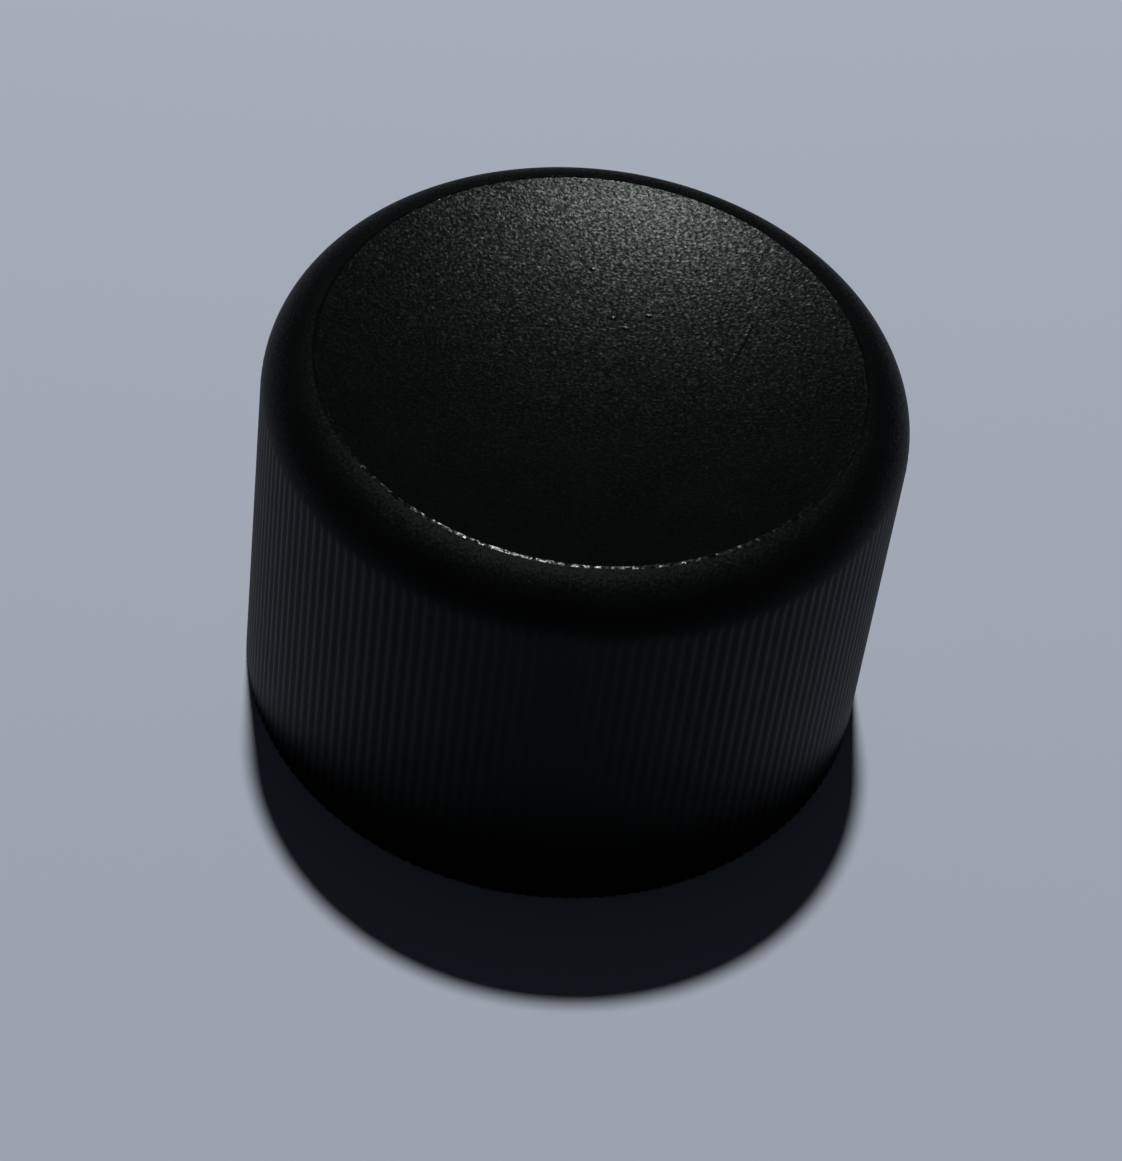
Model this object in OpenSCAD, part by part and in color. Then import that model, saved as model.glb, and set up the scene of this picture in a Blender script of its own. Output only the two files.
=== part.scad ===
// Push-on radio knob: a finely ribbed, dished black moulding with a split boss under it,
// and the spring ring that makes the boss grip its shaft. The base lies on z = 0.

/* [Outside] */
// Diameter at the base
base_d = 30; // [26:0.5:40]
// Height of the crest round the dish above the base
height = 20; // [17:0.5:28]
// Draft of the side, which narrows towards the top
draft_angle = 1.15; // [0.2:0.05:3]
// Radius of the rounded shoulder
shoulder_r = 2.6; // [1:0.1:4]
// Outward lean of the shoulder where it meets the dish
crest_tilt = 5.7; // [1:0.1:20]
// Depth of the dish below its crest
dish_depth = 1.5; // [0.5:0.1:2.5]

/* [Ribs] */
// Number of grooves round the side
rib_count = 168; // [60:1:180]
// Depth of a groove
groove_depth = 0.07; // [0.04:0.01:0.2]
// Share of the rib pitch that a groove takes up
groove_width_share = 0.8; // [0.4:0.02:0.84]

/* [Underside] */
// Thickness of the side wall
wall = 1.8; // [1.2:0.1:3]
// Thickness of the top under the middle of the dish
top_wall = 2; // [1.2:0.1:2.6]
// Height of the recess below the boss, which clears the nut on the panel
nut_recess = 4.5; // [2:0.1:6]
// Number of webs that tie the boss to the side wall
web_count = 4; // [2:1:8]
// Thickness of a web
web_t = 1.2; // [0.8:0.1:2]

/* [Boss] */
// Diameter of the bore that takes the shaft
bore_d = 6; // [4:0.1:8]
// Width of the lead-in chamfer at the bore's mouth
bore_chamfer = 0.5; // [0.2:0.1:1]
// Wall of the boss round the bore
boss_wall = 2; // [1.4:0.1:3]
// Width of the slot that splits the boss
slot_w = 1; // [0.6:0.1:2]
// Length of the slot from the boss's end
slot_len = 7; // [5:0.5:9]

/* [Spring ring] */
// Width of the ring along the boss
ring_w = 2.4; // [1.5:0.1:3]
// Thickness of the ring's strip
ring_t = 0.6; // [0.3:0.05:1]
// Opening between the ring's ends
ring_gap = 2.2; // [1:0.1:4]
// Depth of the groove that seats the ring
seat_depth = 0.4; // [0.2:0.05:0.8]
// Distance from the boss's end to the groove
seat_inset = 1.4; // [0.8:0.1:2]
// Clearance between the ring and its groove
ring_clearance = 0.05; // [0.02:0.01:0.1]

/* [Hidden] */
$fn = 192;
overrun = 1;

base_r = base_d / 2;
// centre of the shoulder's arc, which is tangent to the drafted side and ends at the crest
shoulder_z = height - shoulder_r * cos(crest_tilt);
shoulder_x = base_r - shoulder_r / cos(draft_angle) - shoulder_z * tan(draft_angle);
side_top = [shoulder_x + shoulder_r * cos(draft_angle), shoulder_z + shoulder_r * sin(draft_angle)];
crest = [shoulder_x + shoulder_r * sin(crest_tilt), height];
dish_ball_r = (crest.x ^ 2 + dish_depth ^ 2) / (2 * dish_depth);
dish_low = height - dish_depth;

rib_pitch = PI * base_d / rib_count;
groove_w = groove_width_share * rib_pitch;
// width of a groove's cutter just outside the side, still clear of the next cutter at the top
cutter_w = (groove_w + rib_pitch * side_top.x / base_r) / 2;

ceiling = dish_low - top_wall;
cavity_r = base_r - wall;
bore_r = bore_d / 2;
boss_r = bore_r + boss_wall;
slot_end = nut_recess + slot_len;

seat_r = boss_r - seat_depth;
seat_z = nut_recess + seat_inset;
ring_in_r = seat_r + ring_clearance;
ring_gap_angle = 360 * ring_gap / (2 * PI * (ring_in_r + ring_t / 2));

// Half section of the solid outside, before it is dished
module outside_section() {
  polygon([[0, 0], [base_r, 0], side_top, [shoulder_x, shoulder_z], crest, [0, height]]);
  translate([shoulder_x, shoulder_z])
    intersection() {
      circle(shoulder_r);
      square([shoulder_r + overrun, shoulder_r + overrun]);
    }
}

// Solid outside: drafted side, rounded shoulder and dished top
module outside() {
  difference() {
    rotate_extrude() outside_section();
    translate([0, 0, dish_low + dish_ball_r]) sphere(dish_ball_r);
  }
}

// Section of one groove's cutter: a V with its tip at the groove's bottom
module groove_section() {
  outer_x = groove_depth * (cutter_w / groove_w - 1);
  polygon([[-groove_depth, 0], [outer_x, -cutter_w / 2], [outer_x, cutter_w / 2]]);
}

// V grooves that follow the drafted side and run out on the shoulder
module grooves() {
  for (i = [0 : rib_count - 1])
    rotate([0, 0, (i + 1 / 2) * 360 / rib_count])
      translate([base_r, 0, 0])
        rotate([0, -draft_angle, 0])
          translate([0, 0, -overrun])
            linear_extrude(height + overrun) groove_section();
}

// Hollow under the top, with the boss and its webs left standing
module hollow() {
  difference() {
    translate([0, 0, -overrun])
      cylinder(r1 = cavity_r + overrun * tan(draft_angle),
               r2 = cavity_r - ceiling * tan(draft_angle),
               h = ceiling + overrun);
    translate([0, 0, nut_recess]) cylinder(r = boss_r, h = ceiling);
    for (i = [0 : web_count - 1])
      rotate([0, 0, (i + 1 / 2) * 360 / web_count])
        translate([0, -web_t / 2, slot_end])
          cube([base_r, web_t, ceiling]);
  }
}

// Blind bore up to the ceiling with its lead-in chamfer, and the slot across the boss
module shaft_socket() {
  translate([0, 0, nut_recess - overrun])
    cylinder(r = bore_r, h = ceiling - nut_recess + overrun);
  translate([0, 0, nut_recess - overrun])
    cylinder(r1 = bore_r + bore_chamfer + overrun, r2 = bore_r, h = bore_chamfer + overrun);
  translate([-boss_r - overrun, -slot_w / 2, nut_recess - overrun])
    cube([2 * (boss_r + overrun), slot_w, slot_len + overrun]);
}

// Groove round the boss that seats the spring ring
module ring_seat() {
  translate([0, 0, seat_z])
    difference() {
      cylinder(r = boss_r + overrun, h = ring_w + 2 * ring_clearance);
      translate([0, 0, -overrun]) cylinder(r = seat_r, h = ring_w + 2 * (ring_clearance + overrun));
    }
}

// One moulding: ribbed skirt, dished top, split boss and webs
module knob_body() {
  color([0.04, 0.04, 0.043])
    difference() {
      outside();
      grooves();
      hollow();
      shaft_socket();
      ring_seat();
    }
}

// Open ring of spring strip, its ends over one half of the boss
module spring_ring() {
  color([0.62, 0.63, 0.65])
    translate([0, 0, seat_z + ring_clearance])
      rotate([0, 0, 90 + ring_gap_angle / 2])
        rotate_extrude(angle = 360 - ring_gap_angle)
          translate([ring_in_r, 0]) square([ring_t, ring_w]);
}

knob_body();
spring_ring();
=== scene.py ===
import math

import bpy
import numpy
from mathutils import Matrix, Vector


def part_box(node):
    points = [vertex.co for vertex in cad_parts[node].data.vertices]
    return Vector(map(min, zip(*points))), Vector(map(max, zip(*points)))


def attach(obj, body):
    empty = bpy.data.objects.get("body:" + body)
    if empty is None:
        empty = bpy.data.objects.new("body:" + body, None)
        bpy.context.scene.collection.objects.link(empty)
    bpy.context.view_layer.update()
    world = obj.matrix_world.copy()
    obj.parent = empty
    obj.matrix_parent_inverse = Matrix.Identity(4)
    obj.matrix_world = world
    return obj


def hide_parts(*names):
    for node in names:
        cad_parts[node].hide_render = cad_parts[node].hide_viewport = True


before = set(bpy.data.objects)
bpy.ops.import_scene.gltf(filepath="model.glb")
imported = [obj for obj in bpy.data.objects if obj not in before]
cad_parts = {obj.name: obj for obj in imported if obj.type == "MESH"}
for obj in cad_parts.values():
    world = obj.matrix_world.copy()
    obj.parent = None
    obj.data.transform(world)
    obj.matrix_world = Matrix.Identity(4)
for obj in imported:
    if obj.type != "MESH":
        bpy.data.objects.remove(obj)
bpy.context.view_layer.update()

mm = 0.001


# small helpers for modelling

def leaveEditMode():
    if bpy.context.object and bpy.context.object.mode != "OBJECT":
        bpy.ops.object.mode_set(mode="OBJECT")


def selectNothing():
    leaveEditMode()
    bpy.ops.object.select_all(action="DESELECT")


def selectOnly(piece):
    selectNothing()
    piece.select_set(True)
    bpy.context.view_layer.objects.active = piece


def readPlaces(items, name):  # places in mm, one row per vertex or face
    places = numpy.empty(len(items) * 3)
    items.foreach_get(name, places)
    return places.reshape(-1, 3) / mm


def pickVertices(piece, test):
    bpy.ops.mesh.select_mode(type="VERT")
    bpy.ops.mesh.select_all(action="DESELECT")
    bpy.ops.object.mode_set(mode="OBJECT")
    piece.data.vertices.foreach_set("select", test(readPlaces(piece.data.vertices, "co")))
    bpy.ops.object.mode_set(mode="EDIT")


def pickFaces(piece, test):
    bpy.ops.mesh.select_mode(type="FACE")
    bpy.ops.mesh.select_all(action="DESELECT")
    bpy.ops.object.mode_set(mode="OBJECT")
    piece.data.polygons.foreach_set("select", test(readPlaces(piece.data.polygons, "center")))
    bpy.ops.object.mode_set(mode="EDIT")


def startFromPoint(name):  # a new piece that is one vertex at the origin, in edit mode
    selectNothing()
    bpy.ops.mesh.primitive_plane_add(size=mm)
    piece = bpy.context.object
    piece.name = piece.data.name = name
    bpy.ops.object.mode_set(mode="EDIT")
    bpy.ops.mesh.select_mode(type="VERT")
    bpy.ops.mesh.select_all(action="SELECT")
    bpy.ops.mesh.merge(type="CENTER")
    return piece


def drawSection(points):  # half section as (radius, height) in mm, drawn in the XZ plane
    bpy.ops.transform.translate(value=(points[0][0] * mm, 0, points[0][1] * mm))
    for (r0, z0), (r1, z1) in zip(points, points[1:]):
        step = ((r1 - r0) * mm, 0, (z1 - z0) * mm)
        bpy.ops.mesh.extrude_region_move(TRANSFORM_OT_translate={"value": step})


def addBlock(name, low, high):  # cutter or web, given by its corners in mm
    selectNothing()
    bpy.ops.mesh.primitive_cube_add(size=1)
    block = bpy.context.object
    block.name = block.data.name = name
    size = [(b - a) * mm for a, b in zip(low, high)]
    middle = [(a + b) / 2 * mm for a, b in zip(low, high)]
    bpy.ops.object.mode_set(mode="EDIT")
    bpy.ops.mesh.select_all(action="SELECT")
    bpy.ops.transform.resize(value=size, center_override=(0, 0, 0))
    bpy.ops.transform.translate(value=middle)
    return block


def joinByBoolean(piece, tool, operation):
    leaveEditMode()
    selectOnly(piece)
    cut = piece.modifiers.new("cut", "BOOLEAN")
    cut.object = tool
    cut.operation = operation
    cut.solver = "EXACT"
    bpy.ops.object.modifier_apply(modifier=cut.name)
    selectOnly(tool)
    bpy.ops.object.delete()
    selectOnly(piece)


# knob body: one moulding, its section turned round the axis one rib at a time

knobShape = {
    "draft": 1.15,            # degrees
    "shoulderRadius": 2.6,    # mm from here on
    "shoulderRows": 12,       # down to where the ribs run out, and as many from there
    "runOutTilt": 68,         # lean of the shoulder where the ribs start to run out, degrees
    "dishDepth": 1.5,
    "dishRows": 13,
    "crestTilt": 5.7,         # outward lean of the shoulder at the crest, degrees
    "crestInset": 0.05,       # the dish's finish ends this far inside the crest
    "crestRound": 0.04,
    "crestLand": 0.13,        # narrow land on top of the crest, rubbed bright
    "crestLandTilt": (8, 15),
    "crestSteps": 6,          # across the round, and as many across the land
    "landToShoulder": 2.5,    # degrees from the land's end to the next row
    "ribCount": 168,
    "ribDepth": 0.07,
    "ribSteps": 5,            # columns across one rib, each a fifth of the pitch
    "ribProfile": (0, 0.5, 1, 0.5, 0),
    "rowReach": 0.002,        # vertices this near are in one row
    "sideRows": (0.75, 0.5, 0.25),  # shares of the side's height
    "roundTurns": (0, 30, 60, 90),  # steps of each small round, degrees
    "baseRound": 0.14,
    "wall": 1.8,
    "topWall": 2.0,
    "innerRound": 0.35,
    "nutRecess": 4.5,
    "boreRadius": 3.0,
    "boreChamfer": 0.5,
    "bossWall": 2.0,
    "bossRound": 0.12,
    "slotWidth": 1.0,
    "slotLength": 7.0,
    "slotOverrun": 1,         # the slot's cutter stands out this far
    "seatDepth": 0.4,
    "seatInset": 1.4,
    "seatWidth": 2.5,
    "webCount": 4,
    "webThick": 1.2,
    "mergeGap": 1e-7,         # metres
    "smoothAngle": 40,
}


def roundOver(r, z, sizeR, sizeZ, turns):  # small round or fillet at a corner of the section
    turns = [math.radians(a) for a in turns]
    return [(r + sizeR * (1 - math.cos(a)), z + sizeZ * (1 - math.sin(a))) for a in turns]


def knobSection(shape):
    low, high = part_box("knob_body")
    baseR, top = high[0] / mm, high[2] / mm
    slope = math.tan(math.radians(shape["draft"]))
    radius = shape["shoulderRadius"]
    lean = math.radians(shape["crestTilt"])
    arcZ = top - radius * math.cos(lean)
    arcR = baseR - radius / math.cos(math.radians(shape["draft"])) - arcZ * slope
    crestR = arcR + radius * math.sin(lean)
    ballR = (crestR ** 2 + shape["dishDepth"] ** 2) / (2 * shape["dishDepth"])
    dishLow = top - shape["dishDepth"]
    ceiling = dishLow - shape["topWall"]
    bossR = shape["boreRadius"] + shape["bossWall"]
    turns = shape["roundTurns"]

    # dish, evenly divided, up to where the crest starts to round over
    points = []
    for row in range(shape["dishRows"] + 1):
        r = (crestR - shape["crestInset"]) * row / shape["dishRows"]
        points.append((r, dishLow + ballR - math.sqrt(ballR ** 2 - r ** 2)))
    dishR = points[-1][0]

    # crest: the tilt turns over quickly, then leans out gently across the land
    count = shape["crestSteps"]
    tilt = -math.asin(dishR / ballR)
    landStart, landEnd = [math.radians(a) for a in shape["crestLandTilt"]]
    tilts = [tilt + (landStart - tilt) * (k + 0.5) / count for k in range(count)]
    tilts += [landStart + (landEnd - landStart) * (k + 0.5) / count for k in range(count)]
    steps = [shape["crestRound"] / count] * count + [shape["crestLand"] / count] * count
    for a, step in zip(tilts, steps):
        points.append((points[-1][0] + step * math.cos(a), points[-1][1] - step * math.sin(a)))
    landR, landZ = points[-1]
    # the land ends on the shoulder
    lift = arcZ + math.sqrt(radius ** 2 - (landR - arcR) ** 2) - landZ
    points = [(r, z + lift) for r, z in points]

    # shoulder from the land down to the side, with close rows where the ribs run out
    rows = shape["shoulderRows"]
    first = math.degrees(math.asin((landR - arcR) / radius)) + shape["landToShoulder"]
    runOut, last = shape["runOutTilt"], 90 - shape["draft"]
    tilts = [first + (runOut - first) * k / rows for k in range(rows + 1)]
    tilts += [runOut + (last - runOut) * k / rows for k in range(1, rows + 1)]
    for a in [math.radians(tilt) for tilt in tilts]:
        points.append((arcR + radius * math.sin(a), arcZ + radius * math.cos(a)))
    ribTop = len(points) - rows - 1
    sideTop = points[-1][1]
    for share in shape["sideRows"]:
        points.append((baseR - sideTop * share * slope, sideTop * share))
    edge = shape["baseRound"]
    points += roundOver(baseR, 0, -edge, edge, turns)
    ribEnd = len(points)

    # flat rim, the hollow's wall and ceiling
    cavityR = baseR - shape["wall"]
    wallTop = cavityR - ceiling * slope
    fillet = shape["innerRound"]
    points += roundOver(cavityR, 0, edge, edge, turns[::-1])
    points += roundOver(wallTop, ceiling, -fillet, -fillet, turns)
    points += roundOver(bossR, ceiling, fillet, -fillet, turns[::-1])

    # boss with the seat of the spring ring, its end, the chamfer and the bore
    seatZ = shape["nutRecess"] + shape["seatInset"]
    seatR = bossR - shape["seatDepth"]
    points += [(bossR, seatZ + shape["seatWidth"]), (seatR, seatZ + shape["seatWidth"])]
    points += [(seatR, seatZ), (bossR, seatZ)]
    edge = shape["bossRound"]
    points += roundOver(bossR, shape["nutRecess"], -edge, edge, turns)
    boreR = shape["boreRadius"]
    points.append((boreR + shape["boreChamfer"], shape["nutRecess"]))
    points.append((boreR, shape["nutRecess"] + shape["boreChamfer"]))
    points += [(boreR, ceiling), (0, ceiling)]
    places = {
        "dishR": dishR, "dishLow": dishLow, "landR": landR, "baseR": baseR, "slope": slope,
        "wallTop": wallTop, "ceiling": ceiling, "bossR": bossR, "ribTop": ribTop, "ribEnd": ribEnd,
    }
    return points, places


def makeKnob(shape):
    points, at = knobSection(shape)
    knob = startFromPoint("knobMoulding")
    drawSection(points)
    print("knob section drawn,", len(points), "points")

    # one rib: the section swept across one pitch, then its grooved columns pressed in
    pitch = math.tau / shape["ribCount"]
    column = pitch / shape["ribSteps"]
    axis = {"center": (0, 0, 0), "axis": (0, 0, 1)}
    bpy.ops.mesh.select_all(action="SELECT")
    bpy.ops.transform.rotate(value=column / 2, orient_axis="Z", center_override=(0, 0, 0))
    bpy.ops.mesh.spin(steps=shape["ribSteps"], angle=pitch, **axis)
    for row in range(at["ribTop"], at["ribEnd"]):
        r, z = points[row]
        for level in sorted(set(shape["ribProfile"]) - {0}):
            bottom = at["baseR"] - z * at["slope"] - shape["ribDepth"] * level
            if row >= at["ribEnd"] - len(shape["roundTurns"]):
                bottom = r - shape["ribDepth"] * level  # the base's round goes on in the grooves
            if bottom >= r:
                continue

            def inGroove(places):
                radii = numpy.hypot(places[:, 0], places[:, 1])
                turn = numpy.arctan2(places[:, 1], places[:, 0]) / column
                index = numpy.rint(turn - 0.5).astype(int) % shape["ribSteps"]
                sameLevel = numpy.array(shape["ribProfile"])[index] == level
                sameRow = abs(radii - r) + abs(places[:, 2] - z) < shape["rowReach"]
                return sameLevel & sameRow

            pickVertices(knob, inGroove)
            squeeze = (bottom / r, bottom / r, 1)
            bpy.ops.transform.resize(value=squeeze, center_override=(0, 0, 0))
    print("one rib shaped")

    # the ribs all the way round
    copies = shape["ribCount"] - 1
    bpy.ops.mesh.select_mode(type="VERT")
    bpy.ops.mesh.select_all(action="SELECT")
    bpy.ops.mesh.spin(steps=copies, dupli=True, angle=pitch * copies, **axis)
    bpy.ops.mesh.select_all(action="SELECT")
    bpy.ops.mesh.remove_doubles(threshold=shape["mergeGap"])
    bpy.ops.mesh.normals_make_consistent(inside=False)
    print("ribs copied round")

    # webs between the boss and the wall, above the slot
    slotEnd = shape["nutRecess"] + shape["slotLength"]
    inBoss = at["bossR"] - shape["bossWall"] / 2
    inWall = at["wallTop"] + shape["wall"] / 2
    inTop = at["ceiling"] + shape["topWall"] / 2
    half = shape["webThick"] / 2
    webs = addBlock("webs", (inBoss, -half, slotEnd), (inWall, half, inTop))
    turn = math.tau / shape["webCount"]
    others = shape["webCount"] - 1
    bpy.ops.transform.rotate(value=turn / 2, orient_axis="Z", center_override=(0, 0, 0))
    bpy.ops.mesh.spin(steps=others, dupli=True, angle=turn * others, **axis)
    joinByBoolean(knob, webs, "UNION")

    # slot across the boss
    reach = at["bossR"] + shape["slotOverrun"]
    below = shape["nutRecess"] - shape["slotOverrun"]
    half = shape["slotWidth"] / 2
    slot = addBlock("slot", (-reach, -half, below), (reach, half, slotEnd))
    joinByBoolean(knob, slot, "DIFFERENCE")
    print("webs and slot made")
    bpy.ops.object.shade_smooth_by_angle(angle=math.radians(shape["smoothAngle"]))
    return knob, at


knob, knobAt = makeKnob(knobShape)
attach(knob, "root")
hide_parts("knob_body")


# finishes

def newFinish(name):
    finish = bpy.data.materials.new(name)
    finish.use_nodes = True
    nodes = finish.node_tree.nodes
    return finish, nodes, finish.node_tree.links.new, nodes["Principled BSDF"]


def addNode(nodes, kind, inputs=None, **settings):
    node = nodes.new(kind)
    for name, value in settings.items():
        setattr(node, name, value)
    for name, value in (inputs or {}).items():
        node.inputs[name].default_value = value
    return node


def addNoise(nodes, size, detail, **others):  # noise whose patches are about this many mm across
    inputs = {"Scale": 1 / (size * mm), "Detail": detail, **others}
    return addNode(nodes, "ShaderNodeTexNoise", inputs)


def addShades(nodes, span, colours):
    shades = addNode(nodes, "ShaderNodeValToRGB")
    for element, position, colour in zip(shades.color_ramp.elements, span, colours):
        element.position = position
        element.color = colour
    return shades


def addRange(nodes, span, results):
    return addNode(nodes, "ShaderNodeMapRange", {
        "From Min": span[0], "From Max": span[1], "To Min": results[0], "To Max": results[1]})


def addMath(nodes, operation, factor):  # multiplies by the factor, and adds input 2 where asked
    node = addNode(nodes, "ShaderNodeMath", operation=operation)
    node.inputs[1].default_value = factor
    return node


dishFinish = {
    "colours": ((0.0022, 0.0025, 0.0024, 1), (0.0030, 0.0033, 0.0032, 1)),
    "drift": 2.5,        # mm across the patches where the colour drifts
    "specular": 0.115,
    "tint": (0.87, 1.0, 0.93, 1),
    "roughness": (0.24, 0.36),
    "grain": 0.13,       # mm across the fine relief
    "grainHeight": 0.009,
    "speckle": 0.16,     # mm across one grain of the spark texture
    "speckleTilt": 0.33,
    # a scratch and tiny dents: place, length and width in mm, turn in degrees, depth, dullness
    "marks": (
        ((6.62, 3.40, 19.05), 3.4, 0.32, 72.5, 0.022, -0.04),
        ((0.65, 4.26, 18.68), 0.38, 0.28, 20, 0.026, -0.14),
        ((1.30, 3.75, 18.65), 0.46, 0.26, -15, 0.026, -0.14),
        ((2.27, 4.65, 18.76), 0.42, 0.28, 0, 0.026, -0.14),
        ((-0.58, 7.03, 18.99), 0.38, 0.26, 0, 0.020, -0.14),
    ),
}
crestFinish = {
    "colours": ((0.0020, 0.0022, 0.0022, 1), (0.0032, 0.0034, 0.0034, 1)),
    "drift": 1.5,
    "specular": 0.14,
    "tint": (0.94, 1.0, 1.0, 1),
    "roughness": (0.28, 0.18),
    "rubbed": 0.40,      # mm across the spots that are rubbed brighter
    "rubbedLean": -0.012,  # more of them towards -X, a share for each mm
    "grain": 0.15,
    "grainHeight": 0.002,
    "speckle": 0.26,
    "speckleTilt": 0.55,
}
satinFinish = {
    "colours": ((0.0017, 0.0018, 0.0019, 1), (0.0025, 0.0026, 0.0027, 1)),
    "drift": 3.0,
    "specular": 0.061,
    "tint": (0.83, 1.0, 0.96, 1),
    "roughness": (0.46, 0.53),  # on the ribs, and next to the crest
    "grainShare": (0.1, 1.0),   # likewise, share of the grain's height and tilt
    "between": (17.4, 19.8),    # heights in mm where both change
    "grain": 0.20,
    "grainHeight": 0.009,
    "speckle": 0.13,
    "speckleTilt": 0.58,
}
undersideFinish = {
    "colours": ((0.0032, 0.0032, 0.0034, 1), (0.0048, 0.0048, 0.0050, 1)),
    "drift": 4.0,
    "specular": 0.25,
    "tint": (1, 1, 1, 1),
    "roughness": (0.40, 0.48),
    "grain": 0.30,
    "grainHeight": 0.002,
}
plasticGrain = {         # the same on every face of the moulding
    "noiseSpan": (0.35, 0.65),  # most of the noise lies between these
    "noiseRoughness": 0.6,
    "cellSize": 1.25,    # pits, against the grain's size
    "cellShare": 0.4,
}


def plasticFinish(name, look):
    finish, nodes, link, shader = newFinish(name)
    shader.inputs["Specular IOR Level"].default_value = look["specular"]
    shader.inputs["Specular Tint"].default_value = look["tint"]
    where = addNode(nodes, "ShaderNodeTexCoord").outputs["Object"]
    split = addNode(nodes, "ShaderNodeSeparateXYZ")
    link(where, split.inputs["Vector"])

    # colour that drifts in soft patches
    span = plasticGrain["noiseSpan"]
    drift = addNoise(nodes, look["drift"], 4.0)
    shades = addShades(nodes, span, look["colours"])
    link(where, drift.inputs["Vector"])
    link(drift.outputs["Fac"], shades.inputs["Fac"])
    link(shades.outputs["Color"], shader.inputs["Base Color"])

    # fine relief: grain with pits in it
    grain = addNoise(nodes, look["grain"], 2.0, Roughness=plasticGrain["noiseRoughness"])
    pitSize = plasticGrain["cellSize"] * look["grain"] * mm
    cells = addNode(nodes, "ShaderNodeTexVoronoi", {"Scale": 1 / pitSize})
    height = addMath(nodes, "MULTIPLY_ADD", plasticGrain["cellShare"])
    depth = look["grainHeight"] * mm
    bump = addNode(nodes, "ShaderNodeBump", {"Strength": 1.0, "Distance": depth})
    link(where, grain.inputs["Vector"])
    link(where, cells.inputs["Vector"])
    link(cells.outputs["Distance"], height.inputs[0])
    link(grain.outputs["Fac"], height.inputs[2])
    link(height.outputs["Value"], bump.inputs["Height"])
    normal = bump.outputs["Normal"]

    if "speckle" in look:  # each grain faces its own way
        tilts = addNoise(nodes, look["speckle"], 1.0)
        centred = addNode(nodes, "ShaderNodeVectorMath", operation="SUBTRACT")
        centred.inputs[1].default_value = (0.5, 0.5, 0.5)
        scaled = addNode(nodes, "ShaderNodeVectorMath", {"Scale": look["speckleTilt"]},
                         operation="SCALE")
        tilted = addNode(nodes, "ShaderNodeVectorMath", operation="ADD")
        facing = addNode(nodes, "ShaderNodeVectorMath", operation="NORMALIZE")
        link(where, tilts.inputs["Vector"])
        link(tilts.outputs["Color"], centred.inputs[0])
        link(centred.outputs["Vector"], scaled.inputs[0])
        link(scaled.outputs["Vector"], tilted.inputs[0])
        link(normal, tilted.inputs[1])
        link(tilted.outputs["Vector"], facing.inputs[0])
        normal = facing.outputs["Vector"]

    # roughness follows the grain, the rubbed spots or the height
    drive = grain.outputs["Fac"]
    if "rubbed" in look:
        spots = addNoise(nodes, look["rubbed"], 1.0)
        lean = addMath(nodes, "MULTIPLY_ADD", look["rubbedLean"] / mm)
        link(where, spots.inputs["Vector"])
        link(split.outputs["X"], lean.inputs[0])
        link(spots.outputs["Fac"], lean.inputs[2])
        drive = lean.outputs["Value"]
    if "between" in look:  # the grain fades out towards the ribs
        span = [z * mm for z in look["between"]]
        drive = split.outputs["Z"]
        fade = addRange(nodes, span, look["grainShare"])
        tilt = addMath(nodes, "MULTIPLY", look["speckleTilt"])
        link(drive, fade.inputs["Value"])
        link(fade.outputs["Result"], bump.inputs["Strength"])
        link(fade.outputs["Result"], tilt.inputs[0])
        link(tilt.outputs["Value"], scaled.inputs["Scale"])
    spread = addRange(nodes, span, look["roughness"])
    link(drive, spread.inputs["Value"])
    rough = spread.outputs["Result"]

    for place, length, width, turn, depth, dullness in look.get("marks", ()):
        lay = addNode(nodes, "ShaderNodeMapping", {
            "Location": [part * mm for part in place],
            "Rotation": (0, 0, math.radians(turn)),
            "Scale": (length / 2 * mm, width / 2 * mm, mm),
        }, vector_type="TEXTURE")
        hollow = addNode(nodes, "ShaderNodeTexGradient", gradient_type="SPHERICAL")
        dent = addNode(nodes, "ShaderNodeBump", {"Strength": 1.0, "Distance": depth * mm},
                       invert=True)
        dull = addMath(nodes, "MULTIPLY_ADD", dullness)
        link(where, lay.inputs["Vector"])
        link(lay.outputs["Vector"], hollow.inputs["Vector"])
        link(hollow.outputs["Fac"], dent.inputs["Height"])
        link(normal, dent.inputs["Normal"])
        link(hollow.outputs["Fac"], dull.inputs[0])
        link(rough, dull.inputs[2])
        normal, rough = dent.outputs["Normal"], dull.outputs["Value"]
    link(normal, shader.inputs["Normal"])
    link(rough, shader.inputs["Roughness"])
    return finish


steelFinish = {
    "colours": ((0.46, 0.47, 0.49, 1), (0.60, 0.61, 0.63, 1)),
    "roughness": (0.22, 0.38),
    "noiseSpan": (0.3, 0.7),
    "streak": 0.05,  # mm between the rolling marks along the strip
    "stretch": (0.02, 0.02, 1.0),
}


def springSteel(name, look):
    finish, nodes, link, shader = newFinish(name)
    shader.inputs["Metallic"].default_value = 1.0
    where = addNode(nodes, "ShaderNodeTexCoord")
    along = addNode(nodes, "ShaderNodeMapping", {"Scale": look["stretch"]})
    marks = addNoise(nodes, look["streak"], 3.0)
    spread = addRange(nodes, look["noiseSpan"], look["roughness"])
    shades = addShades(nodes, look["noiseSpan"], look["colours"])
    link(where.outputs["Object"], along.inputs["Vector"])
    link(along.outputs["Vector"], marks.inputs["Vector"])
    link(marks.outputs["Fac"], shades.inputs["Fac"])
    link(shades.outputs["Color"], shader.inputs["Base Color"])
    link(marks.outputs["Fac"], spread.inputs["Value"])
    link(spread.outputs["Result"], shader.inputs["Roughness"])
    return finish


def assignFinish(piece, finish, test):
    selectOnly(piece)
    bpy.ops.object.material_slot_add()
    piece.material_slots[-1].material = finish
    piece.active_material_index = len(piece.material_slots) - 1
    bpy.ops.object.mode_set(mode="EDIT")
    pickFaces(piece, test)
    bpy.ops.object.material_slot_assign()
    bpy.ops.object.mode_set(mode="OBJECT")


# which faces a finish covers, from the middles of the faces in mm

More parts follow.
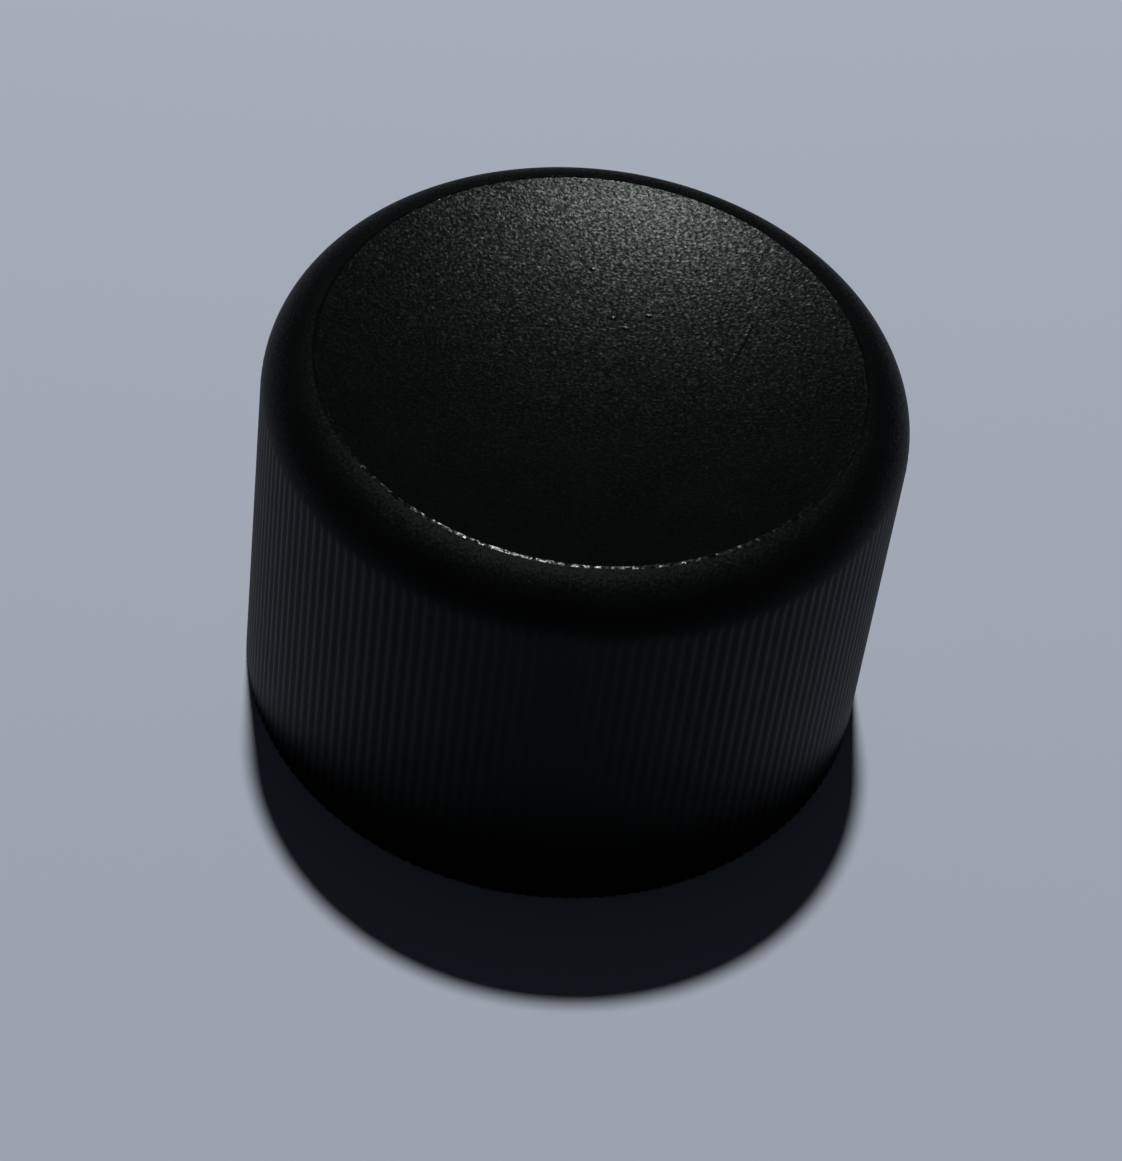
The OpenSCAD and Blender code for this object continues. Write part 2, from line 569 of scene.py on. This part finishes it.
def everywhere(c):
    return numpy.full(len(c), True)


def onDish(c):
    radii = numpy.hypot(c[:, 0], c[:, 1])
    return (radii < knobAt["landR"]) & (c[:, 2] > knobAt["dishLow"] - 0.1)


def onCrest(c):
    return onDish(c) & (numpy.hypot(c[:, 0], c[:, 1]) > knobAt["dishR"])


def inHollow(c):
    radii = numpy.hypot(c[:, 0], c[:, 1])
    inner = knobAt["baseR"] - knobShape["wall"] + knobShape["baseRound"]
    return (radii < inner - c[:, 2] * knobAt["slope"]) & (c[:, 2] < knobAt["ceiling"] + 0.01)


assignFinish(knob, plasticFinish("satinSide", satinFinish), everywhere)
assignFinish(knob, plasticFinish("sparkDish", dishFinish), onDish)
assignFinish(knob, plasticFinish("wornCrest", crestFinish), onCrest)
assignFinish(knob, plasticFinish("mouldedUnderside", undersideFinish), inHollow)
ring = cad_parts["spring_ring"]
ring.data.materials.clear()
ring.data.materials.append(springSteel("springSteel", steelFinish))
print("finishes on")


# floor, light and camera

setting = {
    "floorColour": (0.575, 0.63, 0.74, 1),
    "floorRoughness": 0.9,
    "floorSpecular": 0.2,
    "floorSize": 2.0,
    "keyFrom": (-0.046, 0.314, 0.948),
    "keyDistance": 2.5,
    "keyAim": (-0.03, 0.22, 0),
    "keySize": 0.13,
    "keySpread": 36,                  # degrees
    "keyPower": 1.76,
    "skyColour": (0.73, 0.83, 1.0, 1),
    "skyStrength": 0.017,
    "cameraAt": (0, -95.75, 111.68),  # mm
    "cameraPitch": 48.032,            # degrees down
    "cameraYaw": 0.01,
    "cameraRoll": 8.01,
    "focalShare": 2977.4 / 1161,      # focal length over the image's long side
    "sensorWidth": 36,
    "clipStart": 0.005,
}


def makeFloor():
    selectNothing()
    bpy.ops.mesh.primitive_plane_add(size=setting["floorSize"])
    floor = bpy.context.object
    floor.name = floor.data.name = "paleFloor"
    finish, nodes, link, shader = newFinish("palePaper")
    shader.inputs["Roughness"].default_value = setting["floorRoughness"]
    shader.inputs["Specular IOR Level"].default_value = setting["floorSpecular"]
    shader.inputs["Base Color"].default_value = setting["floorColour"]
    floor.data.materials.append(finish)


def makeLight():
    world = bpy.data.worlds.new("softSky")
    bpy.context.scene.world = world
    world.use_nodes = True
    sky = world.node_tree.nodes["Background"]
    sky.inputs["Color"].default_value = setting["skyColour"]
    sky.inputs["Strength"].default_value = setting["skyStrength"]
    key = bpy.data.objects.new("keyLight", bpy.data.lights.new("keyLight", "AREA"))
    bpy.context.scene.collection.objects.link(key)
    key.data.shape = "DISK"
    key.data.size = setting["keySize"]
    key.data.energy = setting["keyPower"]
    key.data.spread = math.radians(setting["keySpread"])
    key.location = [part * setting["keyDistance"] for part in setting["keyFrom"]]
    away = key.location - Vector(setting["keyAim"])
    key.rotation_euler = away.to_track_quat("Z", "Y").to_euler()


def makeCamera():
    camera = bpy.data.objects.new("camera", bpy.data.cameras.new("camera"))
    bpy.context.scene.collection.objects.link(camera)
    camera.location = [part * mm for part in setting["cameraAt"]]
    camera.rotation_mode = "ZYX"
    turns = (90 - setting["cameraPitch"], setting["cameraYaw"], setting["cameraRoll"])
    camera.rotation_euler = [math.radians(turn) for turn in turns]
    camera.data.sensor_width = setting["sensorWidth"]
    camera.data.lens = setting["sensorWidth"] * setting["focalShare"]
    camera.data.clip_start = setting["clipStart"]
    bpy.context.scene.camera = camera


makeFloor()
makeLight()
makeCamera()
bpy.context.scene.view_settings.view_transform = "Standard"
print("floor, light and camera set")
